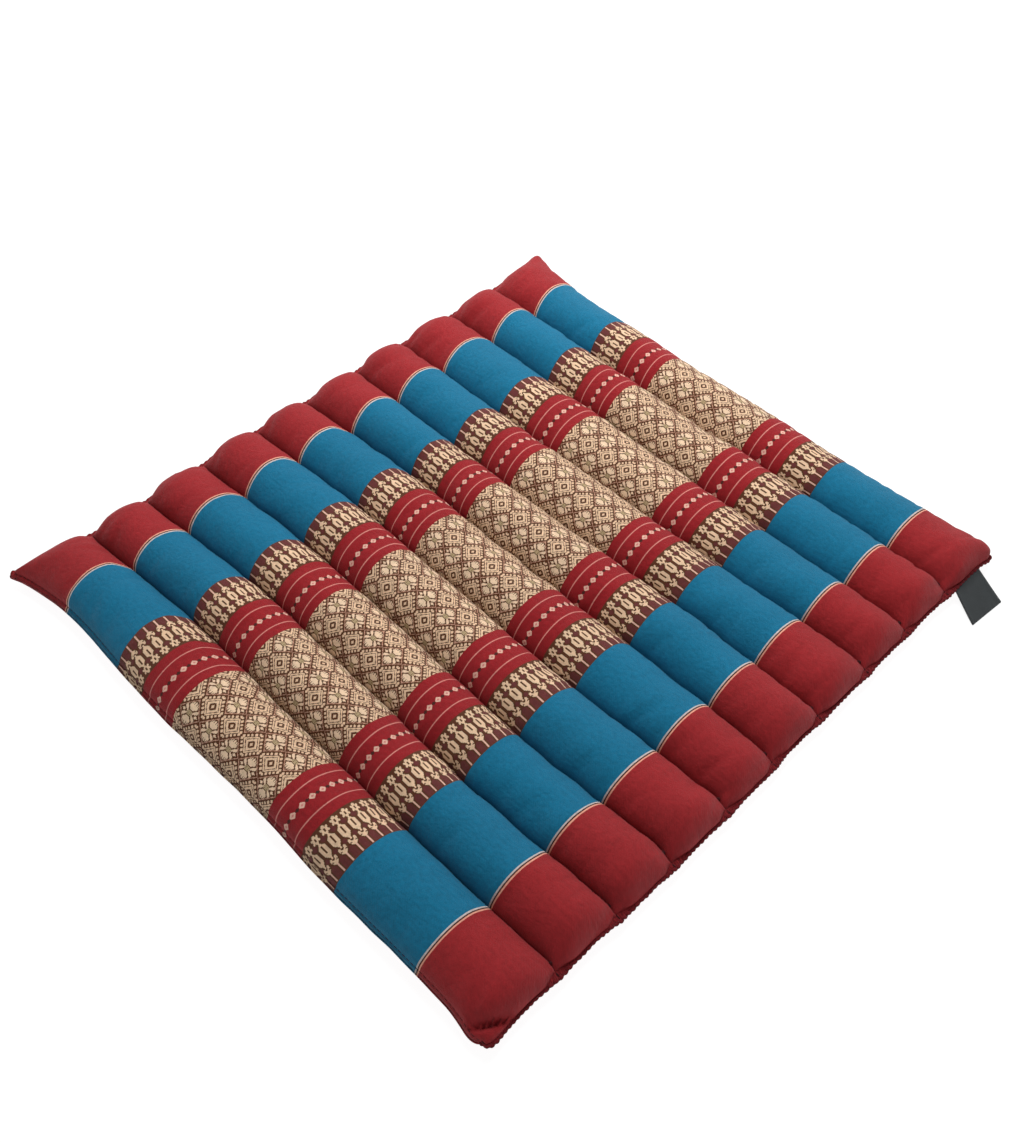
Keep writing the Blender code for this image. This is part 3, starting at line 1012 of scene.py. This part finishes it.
def make_label(top, material, shift):
    """A folded woven tape: two layers with a round fold at the tip and ridged side edges."""
    layer = np.linspace(-LABEL_TUCK, 1.0, LABEL_CELLS_ALONG + 1)
    out_share = np.concatenate([layer, layer[::-1]])[:, None]
    side = np.repeat([1.0, -1.0], len(layer))[:, None]
    width_share = np.linspace(-0.5, 0.5, LABEL_CELLS_ACROSS + 1)
    outside = np.maximum(out_share, 0.0)
    from_left = (width_share + 0.5) * outside
    root_x = LABEL_ROOT_MIDDLE - ROLLS / 2 * ROLL_PITCH
    across = width_share * LABEL_WIDTH + from_left * LABEL_FLARE
    edge_x, edge_y = top[-1, :, 0], top[-1, :, 1]
    own_y = np.interp(root_x + across, edge_x, edge_y)
    root_y = np.interp(root_x, edge_x, edge_y)
    out = LABEL_REACH * out_share
    x = root_x + across + out * math.tan(LABEL_SLANT)
    y = own_y + (root_y - own_y) * outside - out - from_left * LABEL_TURN
    tip = LABEL_TIP_HEIGHT + LABEL_THICKNESS / 2
    height = tip + (seam_height(0.0, "near") - tip) * (1.0 - outside) ** LABEL_BEND
    near_tip = np.maximum(0.0, out_share - LABEL_ROUND_FROM) / (1.0 - LABEL_ROUND_FROM)
    half = LABEL_THICKNESS / 2 * np.sqrt(np.maximum(0.0, 1.0 - near_tip**2))
    ridge = LABEL_RIDGE * (np.abs(width_share) > LABEL_RIDGE_FROM)
    sag = LABEL_SAG * np.sin(math.pi * out_share) * (4 * width_share**2 - LABEL_SAG_LEVEL)
    z = np.maximum(LABEL_LEAST_HEIGHT, height + side * (half + ridge) + sag)
    points = np.stack([x, y, z], axis=2)
    rows, width = z.shape
    index = np.arange(rows * width).reshape(rows, width)
    upper, lower = index[: len(layer)], index[: -len(layer) - 1 : -1]
    faces = grid_faces(rows, width, 0, True).tolist()
    edges = []
    for column, order in ((0, -1), (width - 1, 1)):
        ring = [upper[:-1, column], upper[1:, column], lower[1:, column], lower[:-1, column]]
        edges.append(np.stack(ring, axis=1)[:, ::order])
    faces += np.stack(edges, axis=1).reshape(-1, 4).tolist()
    faces.append(index[0][::-1].tolist() + index[-1].tolist())
    return add_piece("woven_label", points.reshape(-1, 3) + shift, faces, (material,))


def math_step(operation):
    """A method of Value for one kind of Math node."""
    return lambda self, *others: self.work(operation, *others)


class Value:
    """A number that a material works out at each point of a surface, built from Math nodes."""

    def __init__(self, tree, socket):
        self.tree = tree
        self.socket = socket

    def work(self, operation, *others):
        """What a Math node makes of this and the other operands."""
        node = self.tree.nodes.new("ShaderNodeMath")
        node.operation = operation
        for socket, operand in zip(node.inputs, (self, *others)):
            if isinstance(operand, Value):
                self.tree.links.new(operand.socket, socket)
            else:
                socket.default_value = operand
        return Value(self.tree, node.outputs[0])

    __add__ = math_step("ADD")
    __sub__ = math_step("SUBTRACT")
    __mul__ = math_step("MULTIPLY")
    __truediv__ = math_step("DIVIDE")
    __mod__ = math_step("FLOORED_MODULO")
    __lt__ = math_step("LESS_THAN")
    __gt__ = math_step("GREATER_THAN")
    floor = math_step("FLOOR")
    absolute = math_step("ABSOLUTE")
    least = math_step("MINIMUM")
    sine = math_step("SINE")

    def inverse(self):
        """1 where this is 0 and 0 where it is 1."""
        return (self * -1.0) + 1.0

    def between(self, low, high):
        """1 from low up to high, and 0 outside."""
        return (self < high) * (self < low).inverse()

    def power_of_two(self):
        """2 to the power of this."""
        return self.work("MULTIPLY", math.log(2.0)).work("EXPONENT")


def stepped(row, runs, total):
    """Three numbers for each row of a chart, from constant colour ramps of up to 30 runs each.

    runs holds (first row, three numbers from 0 to 1), and total is the count of rows.
    """
    tree = row.tree
    place = (row + 0.5) / total
    found = None
    for first in range(0, len(runs), 30):
        chunk = runs[first : first + 30]
        ramp = tree.nodes.new("ShaderNodeValToRGB")
        ramp.color_ramp.interpolation = "CONSTANT"
        stops = ramp.color_ramp.elements
        while len(stops) > 1:
            stops.remove(stops[-1])
        for i, (start, numbers) in enumerate(chunk):
            stop = stops[0] if i == 0 else stops.new(start / total)
            stop.position = start / total if first or i else 0.0
            stop.color = (*numbers, 1.0)
        tree.links.new(place.socket, ramp.inputs["Fac"])
        split = tree.nodes.new("ShaderNodeSeparateColor")
        tree.links.new(ramp.outputs["Color"], split.inputs[0])
        part = [Value(tree, split.outputs[i]) for i in range(3)]
        if found is None:
            found = part
        else:
            later = row > (chunk[0][0] - 0.5)
            found = [old + (new - old) * later for old, new in zip(found, part)]
    return found


def charted(row, column, chart, signs):
    """1 for each of up to three signs where the chart has it, at a row and column, else 0.

    chart holds (count of rows, text), with a sign for each column.
    """
    width = len(chart[0][1])
    scale = 2**width
    runs = []
    first = 0
    for count, text in chart:
        masks = []
        for sign in signs:
            masks.append(sum(2**i for i, mark in enumerate(text) if mark == sign) / scale)
        masks += [0.0] * (3 - len(masks))
        if not runs or runs[-1][1] != tuple(masks):
            runs.append((first, tuple(masks)))
        first += count
    shares = stepped(row, runs, first)
    power = column.least(width - 1.0).power_of_two()
    inside = (column < (width - 0.5)) * (row < (first - 0.5)) * (row > -0.5)
    marks = []
    for share in shares[: len(signs)]:
        marks.append((((share * scale + 0.5) / power).floor() % 2.0) * inside)
    return marks


class Paint:
    """A colour that a material works out at each point, built from Mix nodes."""

    def __init__(self, tree, colour):
        self.tree = tree
        self.colour = colour

    def cover(self, colour, where):
        """Puts a colour over this one where a Value is 1."""
        mix = self.tree.nodes.new("ShaderNodeMix")
        mix.data_type = "RGBA"
        self.tree.links.new(where.socket, mix.inputs["Factor"])
        for source, socket in ((self.colour, mix.inputs["A"]), (colour, mix.inputs["B"])):
            if isinstance(source, tuple):
                socket.default_value = source
            else:
                self.tree.links.new(source, socket)
        return Paint(self.tree, mix.outputs["Result"])

    def scaled(self, value):
        """This colour made brighter or darker by a Value."""
        node = self.tree.nodes.new("ShaderNodeVectorMath")
        node.operation = "SCALE"
        if isinstance(self.colour, tuple):
            node.inputs[0].default_value = self.colour[:3]
        else:
            self.tree.links.new(self.colour, node.inputs[0])
        self.tree.links.new(value.socket, node.inputs["Scale"])
        return Paint(self.tree, node.outputs[0])


def new_material(name, roughness, sheen, sheen_roughness):
    """A material with its node tree and its shader."""
    material = bpy.data.materials.new(name)
    material.use_nodes = True
    tree = material.node_tree
    shader = tree.nodes["Principled BSDF"]
    shader.inputs["Roughness"].default_value = roughness
    shader.inputs["Specular IOR Level"].default_value = SHINE
    shader.inputs["Sheen Weight"].default_value = sheen
    shader.inputs["Sheen Roughness"].default_value = sheen_roughness
    shader.inputs["Sheen Tint"].default_value = (1.0, 1.0, 1.0, 1.0)
    return material, tree, shader


def numbers_of(tree, vector):
    """The X, Y and Z of a vector's socket, each as a Value."""
    split = tree.nodes.new("ShaderNodeSeparateXYZ")
    tree.links.new(vector, split.inputs[0])
    return tuple(Value(tree, output) for output in split.outputs)


def vector_of(tree, x, y):
    """A node that makes a vector of two Values, with 0 for its Z."""
    join = tree.nodes.new("ShaderNodeCombineXYZ")
    tree.links.new(x.socket, join.inputs["X"])
    tree.links.new(y.socket, join.inputs["Y"])
    return join


def cloth_place(tree):
    """Thread place and band place of a point, in mm on the flat cloth, and how far it is gathered."""
    node = tree.nodes.new("ShaderNodeAttribute")
    node.attribute_name = "cloth_place"
    return numbers_of(tree, node.outputs["Vector"])


def object_place(tree):
    """X, Y and Z of a point, in mm."""
    node = tree.nodes.new("ShaderNodeTexCoord")
    return tuple(number / MM for number in numbers_of(tree, node.outputs["Object"]))


def noise(tree, x, y, size_x, size_y, detail=2.0):
    """Soft noise around 0, from -0.5 to 0.5, with its own size in mm each way."""
    join = vector_of(tree, x / size_x, y / size_y)
    node = tree.nodes.new("ShaderNodeTexNoise")
    node.noise_dimensions = "2D"
    node.inputs["Scale"].default_value = 1.0
    node.inputs["Detail"].default_value = detail
    tree.links.new(join.outputs[0], node.inputs["Vector"])
    return Value(tree, node.outputs[0]) - 0.5


def speckle(tree, x, y, seed):
    """Another random number from -0.5 to 0.5 for each whole x and y."""
    join = vector_of(tree, x, y)
    join.inputs["Z"].default_value = seed
    node = tree.nodes.new("ShaderNodeTexWhiteNoise")
    node.noise_dimensions = "3D"
    tree.links.new(join.outputs[0], node.inputs["Vector"])
    return Value(tree, node.outputs["Value"]) - 0.5


def lit_by_weave(tree, shader, height, paint, rough, depth):
    """Joins colour, roughness and relief to the shader; depth is the relief's in metres."""
    bump = tree.nodes.new("ShaderNodeBump")
    bump.inputs["Strength"].default_value = 1.0
    bump.inputs["Distance"].default_value = depth
    tree.links.new(height.socket, bump.inputs["Height"])
    tree.links.new(bump.outputs[0], shader.inputs["Normal"])
    tree.links.new(paint.colour, shader.inputs["Base Color"])
    tree.links.new(rough.socket, shader.inputs["Roughness"])


def woven_relief(thread, pick, across, along, repeat, over):
    """Height of a twill: each thread rounds up where it floats over the picks, and back."""
    step = (thread + pick) % repeat
    floats = step < over
    ridge_one = (across * (math.tau / THREAD)).sine().absolute()
    ridge_two = (along * (math.tau / PICK)).sine().absolute()
    ridges = ridge_one * floats * RIDGE_RELIEF + ridge_two * floats.inverse() * RIDGE_RELIEF
    return ridges + floats * FLOAT_RELIEF


def folded_repeat(index, repeat):
    """Distance of an index from the nearest whole repeat, in steps."""
    left = index % repeat
    return left.least((left * -1.0) + repeat)


def paint_field(paint, thread, pick, inside):
    """Cream flowers in lattice diamonds, and nested diamonds between, on brown."""
    i = folded_repeat(thread, FIELD_REPEAT)
    j = folded_repeat(pick, FIELD_REPEAT)
    x, y = i * THREAD, j * PICK
    from_flower = x + y
    widest = FIELD_REPEAT / 2 * (THREAD + PICK)
    from_nest = (from_flower * -1.0) + widest
    runs = [(first, (on, 0.0, 0.0)) for first, on in NEST_RINGS]
    rings, _, _ = stepped(from_nest - 0.5, runs, widest)
    teeth = (x - y + widest) % TOOTH_PITCH < TOOTH_WIDTH
    rings = rings + teeth * from_nest.between(*NEST_TEETH)
    petals, middle = charted(j, i, [(1, text) for text in FLOWER], "#o")
    paint = paint.cover(DARK_BROWN, inside)
    paint = paint.cover(CREAM, inside * rings)
    paint = paint.cover(LATTICE, inside * from_flower.between(LATTICE_START, LATTICE_END))
    paint = paint.cover(DULL_CREAM, inside * middle)
    return paint.cover(PETAL_CREAM, inside * petals)


def paint_border(paint, column, band, inside):
    """Rows of small flowers, barrels and buds on stems, between a red and a blue band."""
    row = ((band - RED_BAND_END) / PICK).floor()
    cream, maroon, rose = charted(row, column, BORDER, "#+p")
    paint = paint.cover(DARK_BROWN, inside)
    paint = paint.cover(MAROON, inside * maroon)
    paint = paint.cover(PALE_ROSE, inside * rose)
    return paint.cover(CREAM, inside * cream)


def paint_red_band(paint, column, band):
    """Two thin rose lines and a row of small diamonds on the red."""
    for line in THIN_LINES:
        on_line = (band - line).absolute() < THIN_LINE_WIDTH / 2
        paint = paint.cover(ROSE, on_line)
    row = ((band - DIAMOND_ROW) / PICK + 0.5).floor().absolute()
    pale, hole, link = charted(row, column, [(1, text) for text in DIAMONDS], "#ox")
    paint = paint.cover(WINE, link)
    paint = paint.cover(PALE_ROSE, pale)
    return paint.cover(ROSE, hole)


def banded_cloth():
    """The figured cotton cloth of the top, drawn thread by thread."""
    material, tree, shader = new_material("banded_cloth", roughness=0.9, sheen=0.09, sheen_roughness=0.5)
    across, along, gathered = cloth_place(tree)
    thread = (across / THREAD + 0.5).floor()
    pick = (along / PICK + 0.5).floor()
    column = (across / THREAD).floor() % BORDER_REPEAT
    column = column.least((column * -1.0) + (BORDER_REPEAT - 1.0))
    band = along.absolute()
    paint = Paint(tree, RED).cover(BAND_RED, band < RED_BAND_END)
    start = BORDER_END
    for colour, stop in BANDS_AND_LINES:
        paint = paint.cover(colour, band.between(start, stop))
        start = stop
    paint = paint_red_band(paint, column, band)
    paint = paint_border(paint, column, band, band.between(RED_BAND_END, BORDER_END))
    paint = paint_field(paint, thread, pick, pick.absolute() < FIELD_PICKS + 0.5)
    clouds = noise(tree, across, along, *CLOUDS)
    slubs = noise(tree, across, along, *SLUBS)
    mottle = noise(tree, across, along, *MOTTLE)
    puckers = noise(tree, across, along, *PUCKERS)
    grain = speckle(tree, thread, pick, 1.0)
    shade = clouds * CLOUD_SHADE + slubs * SLUB_SHADE + grain * GRAIN_SHADE + mottle * MOTTLE_SHADE
    paint = paint.scaled(shade + 1.0)
    # Painted shade on the gathered edges: they are darkened, and mottled light and dark with their
    # puckers
    paint = paint.scaled((gathered * (puckers * PUCKER_PAINTED_SHADE - GATHER_PAINTED_SHADE)) + 1.0)
    height = woven_relief(thread, pick, across, along, *TWILL) + grain * GRAIN_RELIEF
    height = height + mottle * MOTTLE_RELIEF + puckers * gathered * PUCKER_RELIEF
    rough = clouds * CLOUD_ROUGHNESS + grain * GRAIN_ROUGHNESS + BANDED_ROUGHNESS
    lit_by_weave(tree, shader, height, paint, rough, WEAVE_DEPTH)
    return material


def plain_cloth(name, colour, depth=WEAVE_DEPTH):
    """Plain cotton cloth of one colour, for the underside and the overcast edges."""
    material, tree, shader = new_material(name, roughness=0.9, sheen=0.03, sheen_roughness=0.5)
    across, along, _ = cloth_place(tree)
    thread = (across / THREAD + 0.5).floor()
    pick = (along / PICK + 0.5).floor()
    clouds = noise(tree, across, along, *CLOUDS)
    grain = speckle(tree, thread, pick, 2.0)
    shade = clouds * PLAIN_CLOUD_SHADE + grain * PLAIN_GRAIN_SHADE
    paint = Paint(tree, colour).scaled(shade + 1.0)
    height = woven_relief(thread, pick, across, along, *PLAIN_WEAVE) + grain * GRAIN_RELIEF
    rough = clouds * CLOUD_ROUGHNESS + grain * GRAIN_ROUGHNESS + PLAIN_ROUGHNESS
    lit_by_weave(tree, shader, height, paint, rough, depth)
    return material


def thread_material(name, colour):
    """Sewing thread: fine slanting twist along each stitch."""
    material, tree, shader = new_material(name, roughness=0.8, sheen=0.05, sheen_roughness=0.4)
    x, y, z = object_place(tree)
    twist = ((x + y + z) * THREAD_TWIST).sine()
    uneven = noise(tree, x, y, 2.0, 2.0)
    paint = Paint(tree, colour).scaled(twist * 0.15 + uneven * 0.3 + 1.0)
    lit_by_weave(tree, shader, twist, paint, uneven * 0.2 + 0.7, THREAD_DEPTH)
    return material


def label_material():
    """Charcoal ribbon with fine ribs both ways."""
    material, tree, shader = new_material("label_ribbon", roughness=0.7, sheen=0.25, sheen_roughness=0.4)
    x, y, _ = object_place(tree)
    out = x + y * math.tan(LABEL_SLANT)
    ribs = (y * (math.tau / LABEL_RIB_PITCH)).sine()
    fine = (out * (math.tau / LABEL_FINE_RIB_PITCH)).sine()
    uneven = noise(tree, x, y, 6.0, 6.0)
    paint = Paint(tree, CHARCOAL).scaled(ribs * 0.10 + fine * 0.08 + uneven * 0.4 + 1.0)
    lit_by_weave(tree, shader, ribs + fine * 0.5, paint, uneven * 0.2 + 0.65, THREAD_DEPTH)
    return material


def make_floor():
    """A plain white floor that gives off some light."""
    data = bpy.data.meshes.new("floor")
    corners = [(x * FLOOR_SIZE, y * FLOOR_SIZE, 0.0) for x, y in ((-1, -1), (1, -1), (1, 1), (-1, 1))]
    data.from_pydata(corners, [], [(0, 1, 2, 3)])
    floor = add_object("floor", data)
    material = bpy.data.materials.new("floor")
    material.use_nodes = True
    shader = material.node_tree.nodes["Principled BSDF"]
    shader.inputs["Base Color"].default_value = FLOOR_WHITE
    shader.inputs["Roughness"].default_value = 0.9
    shader.inputs["Emission Color"].default_value = (1.0, 1.0, 1.0, 1.0)
    shader.inputs["Emission Strength"].default_value = FLOOR_GLOW
    data.materials.append(material)


def add_area_light(name, place, target, size, power):
    """A round lamp that aims at a point."""
    data = bpy.data.lights.new(name, "AREA")
    data.shape = "DISK"
    data.size = size
    data.energy = power
    light = add_object(name, data)
    light.location = place
    direction = Vector(target) - Vector(place)
    light.rotation_euler = direction.to_track_quat("-Z", "Y").to_euler()


def make_lights():
    """The soft light from all round and the lamps."""
    world = bpy.data.worlds.new("studio")
    world.use_nodes = True
    background = world.node_tree.nodes["Background"]
    background.inputs["Color"].default_value = (1.0, 1.0, 1.0, 1.0)
    background.inputs["Strength"].default_value = WORLD_LIGHT
    bpy.context.scene.world = world
    for name, lamp in LAMPS.items():
        add_area_light(name, *lamp)


def make_camera(shift):
    """The camera at the photograph's viewing angle."""
    data = bpy.data.cameras.new("camera")
    data.sensor_width = SENSOR_WIDTH
    data.lens = FOCAL_PIXELS * SENSOR_WIDTH / PHOTO_LONG_SIDE
    data.clip_start = 0.01
    camera = add_object("camera", data)
    right, down, forward = (Vector(way) for way in (CAMERA_RIGHT, CAMERA_DOWN, CAMERA_FORWARD))
    turn = Matrix((right, -down, -forward)).transposed()
    camera.matrix_world = Matrix.Translation(Vector(CAMERA_PLACE) + Vector(shift)) @ turn.to_4x4()
    bpy.context.scene.camera = camera


def place_of_cushion():
    """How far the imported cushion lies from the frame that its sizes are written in."""
    low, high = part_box("cushion")
    left_tip = -ROLLS / 2 * ROLL_PITCH - SIDE_EDGES[0][1] * MM
    far_tip = LENGTH / 2 + (ROLL_SHAPES[0][1] - CORNERS["left", "far"][0]) * MM
    return np.array([low.x - left_tip, high.y - far_tip, low.z])


def set_colours():
    """Plain colours, without a film-like look."""
    bpy.context.scene.view_settings.view_transform = "Standard"
    bpy.context.scene.view_settings.look = "None"


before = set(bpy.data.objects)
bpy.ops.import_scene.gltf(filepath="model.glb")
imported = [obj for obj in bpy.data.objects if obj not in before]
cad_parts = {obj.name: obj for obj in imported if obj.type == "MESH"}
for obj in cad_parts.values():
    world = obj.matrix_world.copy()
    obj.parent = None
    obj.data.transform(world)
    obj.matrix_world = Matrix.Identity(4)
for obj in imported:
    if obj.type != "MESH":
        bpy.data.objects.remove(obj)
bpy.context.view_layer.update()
shift = place_of_cushion()
set_colours()

red_thread = thread_material("red_thread", STITCH_RED)
edge_thread = thread_material("edge_thread", EDGE_MAROON_AND_SHADE)
near_cloth = plain_cloth("edge_cloth", EDGE_MAROON_AND_SHADE, EDGE_WEAVE_DEPTH)
far_cloth = plain_cloth("far_edge_cloth", FAR_EDGE_RED, EDGE_WEAVE_DEPTH)
cover, top, under = make_cover(shift, banded_cloth(), plain_cloth("plain_cloth", RED))
sewing = [
    make_rope("near_edge_rope", 0.5 * (top[-1] + under[-1]), "near", near_cloth, shift),
    make_rope("far_edge_rope", 0.5 * (top[0] + under[0]), "far", far_cloth, shift),
    make_channel_stitches(red_thread, shift),
    make_lip_stitches(top, under, red_thread, shift),
    make_knots(red_thread, shift),
    make_overcast(top, edge_thread, shift),
    make_crease_shade_tails(top, red_thread, shift),
]
label = make_label(top, label_material(), shift)
for piece in (cover, *sewing, label):
    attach(piece, "root")
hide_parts("cushion")
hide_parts("label")

make_floor()
make_lights()
make_camera(shift)
